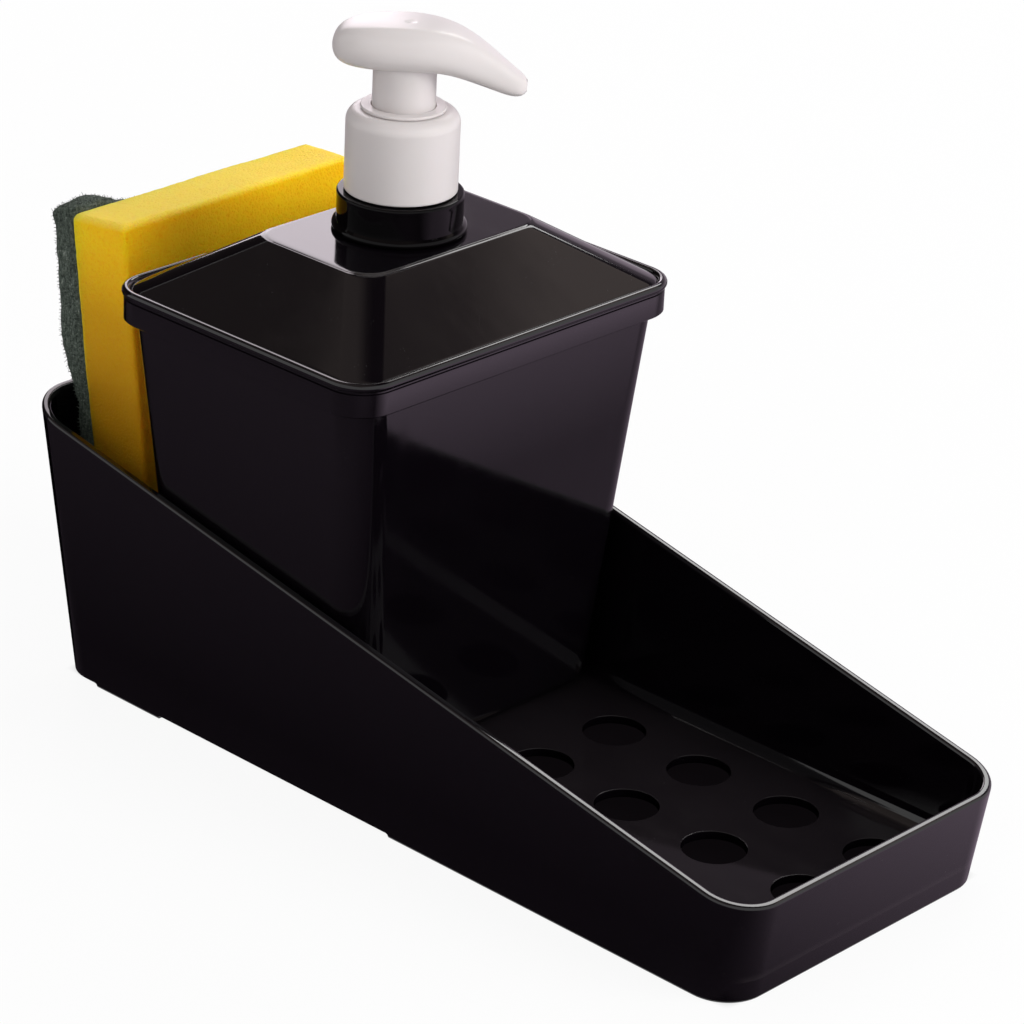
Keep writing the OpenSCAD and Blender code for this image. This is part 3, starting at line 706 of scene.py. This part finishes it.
closure = turned("screw_closure", [
    (12.05, 140.5), (13.2, 140.5)]
    + arc(13.35, 140.95, 0.45, -90, 0, 5)
    + arc(10.6, 157.65, 3.2, 0, 90, 14)
    + [(9.45, 160.85), (9.25, 160.6), (9.25, 158.45), (12.05, 158.45)])
place(closure, "closure", WHITE_GLOSS, "white_gloss", "closure")

chaplet = turned("chaplet_ring", [
    (7.95, 161.8), (7.7, 161.5), (7.7, 150.4), (3.55, 150.4), (3.55, 148.9), (8.35, 148.9),
    (8.35, 156.8), (11.8, 156.8), (11.8, 158.4), (9.2, 158.4), (9.2, 160.9)]
    + arc(9.95, 161.35, 0.45, -90, 90, 8))
place(chaplet, "pump", WHITE_GLOSS, "white_gloss", "chaplet")


# ---- Press head ----

# Place along the head, half width, top and underside, in millimetres from the pump's axis
# and from the underside over the sleeve
HEAD_ROWS = (
    (-17.50, 0.9, 5.4, 4.0), (-16.95, 3.2, 7.4, 2.2), (-15.50, 6.0, 9.2, 0.9),
    (-12.30, 8.6, 10.5, 0.1), (-6.90, 10.4, 11.3, -0.1), (-0.5, 10.8, 11.55, -0.1),
    (4.4, 10.5, 11.4, -0.1), (8.9, 9.5, 10.8, -0.3), (13.3, 8.0, 9.5, -1.5),
    (17.8, 6.4, 7.0, -3.2), (21.9, 5.1, 3.9, -4.7), (25.4, 4.3, 1.0, -5.9),
    (28.1, 3.5, -0.9, -5.9), (29.55, 1.4, -2.5, -4.4),
)
# One half of a cross section: share of the half width, share from the middle to the top
HEAD_SECTION = (
    (0.0, 1.0), (0.35, 0.995), (0.61, 0.955), (0.81, 0.76), (0.94, 0.36),
    (1.0, -0.12), (0.965, -0.52), (0.75, -0.84), (0.39, -0.98), (0.0, -1.0),
)


def head_ring(row):
    """Points of one cross section of the head, across the nozzle's direction"""
    along, half_w, high, low = row
    mid, half_h = (high + low) / 2, (high - low) / 2
    loop = list(HEAD_SECTION) + [(-y, z) for y, z in reversed(HEAD_SECTION[1:-1])]
    return [Vector((along, half_w * y, HEAD_Z + mid + half_h * z)) for y, z in loop]


def head_cutters():
    """The nozzle's bore and the dimple in the crown"""
    bm = bmesh.new()
    droop = math.radians(6.5)
    bmesh.ops.create_cone(
        bm, cap_ends=True, segments=40, radius1=1.5, radius2=1.75, depth=9,
        matrix=Matrix.Translation((28.5, 0, HEAD_Z - 3.5))
        @ Matrix.Rotation(math.radians(90) + droop, 4, "Y"))
    dimple = bmesh.ops.create_uvsphere(bm, u_segments=32, v_segments=16, radius=5.0)["verts"]
    bmesh.ops.translate(bm, vec=(1.2, -1.6, HEAD_Z + HEAD_H + 4.72), verts=dimple)
    return to_mesh(bm, "head_cutters")


def make_head():
    """Rounded head with its nozzle, and the sleeve and the stem's socket under it"""
    bm = bmesh.new()
    head = Wall(bm, head_ring(HEAD_ROWS[0])).cap()
    for row in HEAD_ROWS[1:]:
        head.grow(head_ring(row))
    head.cap()
    crease = bm.edges.layers.float.new("crease_edge")
    ridge = {2, len(HEAD_SECTION) * 2 - 4}
    for edge in bm.edges:
        places = {v[head.place] for v in edge.verts}
        if len(places) == 1 and places <= ridge:
            middle = sum(v.co.x for v in edge.verts) / 2
            edge[crease] = max(0.0, 0.6 - abs(middle) * 0.03)
    shell = to_mesh(bm, "press_head")
    rounder = shell.modifiers.new("rounder", "SUBSURF")
    rounder.levels = rounder.render_levels = 3
    carve(settle(shell), head_cutters())

    bm = bmesh.new()
    bm.from_mesh(shell.data)
    bmesh.ops.scale(bm, vec=(1 / MM,) * 3, verts=bm.verts)
    chamfer_z = SLEEVE_Z + 0.3
    sleeve = [
        (SLEEVE_IN_R, 171.2), (SLEEVE_IN_R, chamfer_z), (SLEEVE_IN_R + 0.25, SLEEVE_Z),
        (SLEEVE_R - 0.3, SLEEVE_Z), (SLEEVE_R, chamfer_z), (SLEEVE_R, 176.5), (SLEEVE_IN_R, 176.5)]
    spun(bm, sleeve + sleeve[:1], 72, x=0)
    socket = [
        (3.5, 171.2), (3.5, chamfer_z), (3.8, SLEEVE_Z), (4.6, SLEEVE_Z), (4.6, 172), (3.5, 172)]
    spun(bm, socket + socket[:1], 48, x=0)
    turn = Matrix.Rotation(NOZZLE_TURN, 3, "Z")
    bmesh.ops.rotate(bm, cent=(0, 0, 0), matrix=turn, verts=bm.verts)
    bmesh.ops.translate(bm, vec=(PUMP_X, 0, 0), verts=bm.verts)
    bpy.data.objects.remove(shell)
    return level_shading(to_mesh(bm, "press_head"), 40)


place(make_head(), "head", WHITE_GLOSS, "white_gloss", "pump_head")


# ---- Dip tube and pump housing, rounder than their CAD meshes ----

housing = turned("pump_cylinder", [
    (8.35, 156.8), (11.7, 156.8), (11.8, 156.7), (11.8, 155.4), (11.7, 155.3), (9.95, 155.3),
    (9.95, 148.2), (9.2, 147.4), (7.1, 147.4), (7.1, 111.6), (6.7, 110.5), (3.6, 107.4),
    (3.6, 97.7), (3.3, 97.4), (2.5, 97.4), (2.5, 107.4), (1.5, 107.4), (1.5, 109.6),
    (2.6, 110.7), (2.6, 116.3), (2.0, 116.3), (2.0, 117.0), (6.0, 117.0), (6.0, 148.9),
    (8.35, 148.9)], 72)
place(housing, "pump", WHITE_INNER, "white_inner", "pump_housing")

tube = turned("dip_tube_piece", [
    (1.8, 11.2), (2.4, 11.2), (2.5, 11.3), (2.5, 107.35), (1.8, 107.35)], 48)
place(tube, "pump", CLEAR_TUBE, "clear_tube", "dip_tube")

for node, finish in (
        ("gasket", SEAL), ("stem", WHITE_INNER), ("piston_rod", WHITE_INNER),
        ("piston", SOFT_SEAL), ("return_spring", STEEL), ("inlet_ball", STEEL)):
    mesh = NODES[node].data
    mesh.materials.clear()
    mesh.materials.append(finish)


# ---- Sponge ----

# Where the sponge stands: it leans on the tray's back wall, turned a little
SLOT = (Matrix.Translation((TRAY_BACK + 3.541, 0, 8.475))
        @ Matrix.Rotation(math.radians(-2), 4, "Z") @ Matrix.Rotation(-END_LEAN, 4, "Y"))
FOAM_EDGE_R, FOAM_SINK, CORNER_PULL = 1.8, 0.35, 4.4
# Pad: edge radius, height along it at which the tray's rim lets it swell, how far it swells and
# bags out there, and how far its top rises at the near end and drops beyond it
PAD_EDGE_R, PAD_FREE_Z, PAD_SWELL, PAD_BAG, PAD_RISE, PAD_DROP = 1.6, 64, 3.0, 1.6, 1.5, 5.3


def clamp(value):
    return min(max(value, 0.0), 1.0)


def block(low, high, pitch):
    """A block of small square faces"""
    bm = bmesh.new()
    size = Vector(high) - Vector(low)
    verts = bmesh.ops.create_cube(bm, size=1)["verts"]
    bmesh.ops.scale(bm, vec=size, verts=verts)
    bmesh.ops.translate(bm, vec=(Vector(high) + Vector(low)) / 2, verts=verts)
    for axis in range(3):
        count = max(2, round(size[axis] / pitch))
        for i in range(1, count):
            at = Vector((0, 0, 0))
            at[axis] = low[axis] + size[axis] * i / count
            normal = Vector((0, 0, 0))
            normal[axis] = 1
            bmesh.ops.bisect_plane(
                bm, geom=bm.verts[:] + bm.edges[:] + bm.faces[:], plane_co=at, plane_no=normal)
    return bm


def round_in(co, low, high, radius):
    """Draws a point of a block in, so that the block's edges are round"""
    near = Vector([min(max(c, a + radius), b - radius) for c, a, b in zip(co, low, high)])
    away = co - near
    return near + away.normalized() * radius if away.length > radius else co


def cut_slope(across):
    """How far the foam's cut top lies off its nominal height, from the near end to the far end"""
    return 1.8 * across - 1.3


def foam_point(co, low, high):
    """Where a point of the foam lies: rounded, cut out of square and a little swollen"""
    co = round_in(co, (low[0] - 1.2, low[1], low[2]), high, FOAM_EDGE_R)
    height = (co.z - low[2]) / SPONGE_LEN
    co.z += height * cut_slope((co.y - low[1]) / SPONGE_W)
    to_edge = min(
        co.x - low[0], high[0] - co.x, co.y - low[1], high[1] - co.y, co.z, SPONGE_LEN - co.z)
    middle = Vector(((low[0] + high[0]) / 2, 0, SPONGE_LEN / 2))
    inward = Vector((
        (co.x - middle.x) / (high[0] - middle.x), (co.y - middle.y) / high[1],
        (co.z - middle.z) / middle.z))
    pull = max(inward, key=abs)
    side = Vector([c if abs(c) >= abs(pull) - 0.03 else 0 for c in inward]).normalized()
    if to_edge < 1.0:
        swell = noise.noise(co * 0.05) * 0.5 + noise.noise(co * 0.16) * 0.22
        dents = noise.noise(co * 0.75) * 0.10
        co -= side * (FOAM_SINK + swell * 0.6 + dents)
    # Its far top corner is drawn out sideways
    far = clamp((co.y / SPONGE_W - 0.2) / 0.3) * (1 - (co.x - low[0]) / 26) * height ** 3
    return co + Vector((0, CORNER_PULL * far, 0))


def make_foam():
    low, high = (PAD_T, -SPONGE_W / 2, 0.0), (SPONGE_T, SPONGE_W / 2, SPONGE_LEN)
    bm = block(low, high, 1.1)
    for v in bm.verts:
        v.co = foam_point(v.co.copy(), low, high)
    bm.transform(SLOT)
    foam = to_mesh(bm, "foam_block")
    return foam


place(make_foam(), "sponge", FOAM, "foam", "sponge_foam")


def pad_point(co, low, high):
    """Where a point of the matted pad lies: its faces are lumpy and its edges are torn"""
    co = round_in(co, low, high, PAD_EDGE_R)
    across, up = (co.y - low[1]) / SPONGE_W, co.z / SPONGE_LEN
    lumps = (noise.noise(co * 0.11) * 0.9 + noise.noise(co * 0.33) * 0.55
             + noise.noise(co * 1.1) * 0.3)
    back = (high[0] - co.x) / PAD_T
    # The tray's wall presses the pad flat; above the rim it swells, and bags out behind
    swell = clamp((co.z - PAD_FREE_Z) / 8)
    bag = PAD_BAG * swell * max(0.0, 1 - abs(co.z - PAD_FREE_Z - 20) / 16)
    co.x += back * (0.55 + 0.55 * lumps - (PAD_SWELL * swell + bag) * (1 - 0.6 * across))
    # Its top edge is high at the near end, drops beyond it, and is torn along its length
    lift = PAD_RISE - PAD_DROP * clamp((across - 0.12) / 0.24) - 0.3 * across
    co.z += up * (cut_slope(across) + lift)
    torn = noise.noise(Vector((co.y * 0.14, 3, co.x * 0.1)))
    co.z += up * (0.8 * torn + 0.6 * noise.noise(co * 0.9))
    co.z -= 1.4 * up * max(0.0, 1 - across / 0.08) * back
    if min(across, 1 - across) < 0.03:
        co.y += (1 if across < 0.5 else -1) * (0.35 + 0.5 * lumps)
    return co


def make_pad():
    low, high = (0.35, -SPONGE_W / 2, 0.2), (PAD_T, SPONGE_W / 2, SPONGE_LEN)
    bm = block(low, high, 0.95)
    for v in bm.verts:
        v.co = pad_point(v.co.copy(), low, high)
    bm.transform(SLOT)
    pad = to_mesh(bm, "scouring_fleece")
    return pad


pad = place(make_pad(), "sponge", FIBRE, "scouring_fibre", "scouring_pad")


def make_fibres():
    """Loose fibre ends that stand out of the pad's torn edges and back"""
    bm = bmesh.new()
    to_slot = SLOT.inverted()
    for step, face in enumerate(pad.data.polygons, 1):
        centre, normal = face.center / MM, face.normal
        local = to_slot @ centre
        if local.x > PAD_T - 0.4:
            continue
        near_rim = abs(local.y) > SPONGE_W / 2 - 1.6 or local.z > SPONGE_LEN - 8
        if not near_rim and step % 3:
            continue
        key = centre * 3.7
        sway = Vector([noise.noise(key + Vector(shift))
                       for shift in ((0, 0, 0), (9, 0, 0), (0, 9, 0))])
        way = (normal + sway * 1.5).normalized()
        long = 0.5 + 1.1 * abs(noise.noise(key * 1.3))
        turn = way.to_track_quat("Z", "Y").to_matrix().to_4x4()
        bmesh.ops.create_cone(
            bm, cap_ends=True, segments=3, radius1=0.10, radius2=0.04, depth=long,
            matrix=Matrix.Translation(centre + way * (long * 0.32)) @ turn)
    return to_mesh(bm, "scouring_fibres", outward=False)


place(make_fibres(), "sponge", FIBRE, "scouring_fibre")


# ---- Studio ----

def area_light(name, spot, target, size, power, tint, glossy):
    """A soft lamp; without glossy it lights the object but isn't mirrored in it"""
    lamp = bpy.data.lights.new(name, "AREA")
    lamp.shape, lamp.size, lamp.size_y = "RECTANGLE", size[0], size[1]
    lamp.energy, lamp.color = power, tint
    lit = bpy.data.objects.new(name, lamp)
    lit.location = spot
    lit.rotation_euler = (Vector(target) - Vector(spot)).to_track_quat("-Z", "Y").to_euler()
    lit.visible_glossy = glossy
    bpy.context.scene.collection.objects.link(lit)


def card(name, size, spot, turn, finish):
    """A flat studio card"""
    bm = bmesh.new()
    bmesh.ops.create_grid(bm, x_segments=1, y_segments=1, size=0.5)
    bmesh.ops.scale(bm, vec=(size[0], size[1], 1), verts=bm.verts)
    bm.transform(Matrix.Translation(spot) @ turn)
    mesh = bpy.data.meshes.new(name)
    bm.to_mesh(mesh)
    bm.free()
    made = bpy.data.objects.new(name, mesh)
    bpy.context.scene.collection.objects.link(made)
    mesh.materials.append(finish)
    return made


def floor_finish():
    """A white table; the camera sees it close to pure white, with the object's shadow. Under the
    tray, where only the drain holes show it, it is painted dark, a painted shade standing in for
    the shade the tray casts there"""
    f = Finish("white_table", kind=None)
    at = f.axes()
    # Painted shade: the table under the tray is made dark, for the shade there
    across = f.spread(abs(at["Y"]), 0.040, 0.046, 1.0, 0.0)
    painted_shade_under_tray = across * f.spread(abs(at["X"] - TRAY_X * MM), 0.108, 0.113, 1.0, 0.0)
    pale = f.blend(f.grain(40, 4), (0.80, 0.80, 0.80), (0.84, 0.84, 0.84))
    shade = f.blend(painted_shade_under_tray, pale, (0.012, 0.010, 0.012))
    white = f.blend(painted_shade_under_tray, (1.0, 1.0, 1.0), (0.0034, 0.0026, 0.0032))
    lit = f.node("ShaderNodeBsdfDiffuse", {}, {"Color": shade})[0]
    bright = f.node("ShaderNodeEmission", {}, {"Color": white, "Strength": 1.0})[0]
    path = f.node("ShaderNodeLightPath")
    seen = path["Is Camera Ray"].most(path["Is Glossy Ray"]).most(path["Is Transmission Ray"])
    # Further out the shadow fades, and the table's edge can't be told from the world
    away = f.node("ShaderNodeVectorMath", {"operation": "LENGTH"}, {0: f.where()})["Value"]
    share = seen * f.spread(away, 0.3, 1.5, 0.92, 1.0)
    return f.show(f.node("ShaderNodeMixShader", {}, {0: share, 1: lit, 2: bright})[0])


def card_finish(name, glow, tint):
    """A studio card whose shade changes over it; glow gives its brightness from X, Y and Z"""
    f = Finish(name, kind=None)
    at = f.axes()
    grey = f.ramp(glow(f, at["X"], at["Y"], at["Z"]), (0.0, (0, 0, 0)), (1.0, tint))
    return f.show(f.node("ShaderNodeEmission", {}, {"Color": grey})[0])


def on_table(f, x, y, z):
    """Black under the tray and beside its near wall, a painted shadow that the gloss mirrors in
    place of the table's shade there, grey beyond the far wall and pale past the front"""
    beyond = f.spread(x, 0.09, 0.18, 0.24, 1.0) * f.spread(y, -0.06, 0.09, 0.05, 1.0)
    # Painted shadow beside the near wall, where the object's shadow lies on the table
    painted_shadow_beside = f.spread(y, -0.17, -0.05, 0.12, 0.015)
    across = f.spread(abs(y), 0.044, 0.047)
    return (beyond + painted_shadow_beside) * across.most(f.spread(x, 0.115, 0.119))


def overhead(f, x, y, z):
    """Dim over the lid's near slope, with a pale far end that the front slope and the rims
    show, a band for the lid's near bead and a patch for the near end of its flat top"""
    roof = f.spread(y, 0.15, 0.35, 0.13, 0.03) + f.spread(y, 0.72, 0.86, 0.0, 0.19)
    corner = f.spread(y, 1.05, 1.09) * f.spread(x, -0.85, -0.75)
    rims = f.spread(y, 0.915, 0.975, 0.0, 0.5) * f.spread(x, -0.50, -0.44, 0.12, 1.0).most(corner)
    front_rim = f.spread(y, 0.80, 0.88, 0.0, 0.3) * f.spread(x, -0.50, -0.44)
    front_rim = front_rim * f.spread(x, 0.10, 0.02)
    skew = x + y * 0.46
    bead = f.spread(skew, -0.79, -0.76) * f.spread(skew, -0.64, -0.665)
    bead = bead * f.spread(y, 0.40, 0.50, 0.0, 0.55) * f.spread(y, 1.0, 0.95)
    patch = f.spread(x, -0.90, -0.87, 0.0, 0.18) * f.spread(y, 0.10, 0.25, 1.0, 0.0)
    return roof + rims.most(front_rim).most(bead) + patch


def behind(f, x, y, z):
    """Grey low down, dim at the top"""
    return f.spread(z, 0.75, 0.95, 0.35, 0.08) + f.spread(z, 0.62, 0.50, 0.0, 0.45)


def beside_left(f, x, y, z):
    """Nearly black"""
    return f.spread(z, 0.30, 0.60, 0.055, 0.03)


def make_world():
    """Even light, a little dim on the object, that the camera and mirrors see as white"""
    world = bpy.data.worlds.new("studio")
    bpy.context.scene.world = world
    world.use_nodes = True
    tree = world.node_tree
    tree.nodes.clear()
    path, end = tree.nodes.new("ShaderNodeLightPath"), tree.nodes.new("ShaderNodeOutputWorld")
    mix = tree.nodes.new("ShaderNodeMixShader")
    seen = path.outputs["Is Camera Ray"]
    for extra in ("Is Glossy Ray", "Is Transmission Ray"):
        either = tree.nodes.new("ShaderNodeMath")
        either.operation = "MAXIMUM"
        tree.links.new(seen, either.inputs[0])
        tree.links.new(path.outputs[extra], either.inputs[1])
        seen = either.outputs[0]
    tree.links.new(seen, mix.inputs[0])
    for entry, strength in ((1, 0.42), (2, 1.0)):
        white = tree.nodes.new("ShaderNodeBackground")
        white.inputs["Color"].default_value = (1, 1, 1, 1)
        white.inputs["Strength"].default_value = strength
        tree.links.new(white.outputs[0], mix.inputs[entry])
    tree.links.new(mix.outputs[0], end.inputs[0])


def studio():
    """A white table, cards that only the object's gloss shows, and lamps"""
    flat = Matrix.Identity(4)
    upright = Matrix.Rotation(math.radians(90), 4, "X")
    sideways = Matrix.Rotation(math.radians(90), 4, "Y")
    card("table", (6, 6), (0, 0, 0), flat, floor_finish())
    for flag_name, finish_name, glow, tint, size, spot, turn in (
            # The table card is a sheet of painted shadow under the tray and beside its near wall,
            # seen only in the gloss
            ("flag_on_table", "table_card", on_table, (1.0, 0.78, 1.0),
             (2.2, 2.4), (-0.35, 0, 0.0006), flat),
            ("flag_over", "overhead_card", overhead, (1.0, 0.84, 0.78),
             (1.8, 2.0), (-0.3, 0.3, 1.12), flat),
            ("flag_behind", "back_card", behind, (1.0, 0.82, 0.98),
             (2.4, 1.3), (-0.75, 1.25, 0.75), upright),
            ("flag_left", "left_card", beside_left, (1.0, 0.8, 0.72),
             (1.3, 1.7), (-1.4, 0.15, 0.6), sideways)):
        flag = card(flag_name, size, spot, turn, card_finish(finish_name, glow, tint))
        flag.visible_camera = flag.visible_shadow = flag.visible_diffuse = False
        flag.visible_transmission = flag.visible_volume_scatter = False
    object_middle = (0, 0, 0.08)
    for name, spot, target, size, power, tint, glossy in (
            ("key", (-0.975, 0.699, 0.66), (0, 0, 0.10), (0.4, 0.9), 3.7, (1, 0.91, 0.97), True),
            ("overhead", (-0.2, 0.1, 1.5), (0, 0, 0), (1.0, 1.0), 2.2, (1, 1, 1), False),
            ("back", (-0.316, 0.84, 0.87), (0.08, 0, 0.03), (0.36, 0.36), 2.2, (1, 1, 1), True),
            ("side", (1.05, 0.38, 0.72), object_middle, (0.7, 0.7), 12.5, (1, 1, 1), False),
            ("front", (0.10, -1.2, 0.75), object_middle, (0.8, 0.8), 3.1, (1, 0.96, 0.95), False)):
        area_light(name, spot, target, size, power, tint, glossy)
    make_world()


def camera():
    """The photograph's viewpoint"""
    lens = bpy.data.cameras.new("camera")
    lens.lens, lens.sensor_width = 148.94, 36
    lens.clip_start, lens.clip_end = 0.05, 20
    eye = bpy.data.objects.new("camera", lens)
    right, up = Vector((0.7234, 0.6890, 0.0455)), Vector((-0.3181, 0.2740, 0.9076))
    forward = Vector((-0.6128, 0.6710, -0.4174))
    turn = Matrix((right, up, -forward)).transposed().to_4x4()
    eye.matrix_world = Matrix.Translation((0.6297, -0.6863, 0.4960)) @ turn
    bpy.context.scene.collection.objects.link(eye)
    bpy.context.scene.camera = eye


studio()
camera()
bpy.context.scene.view_settings.view_transform = "Standard"
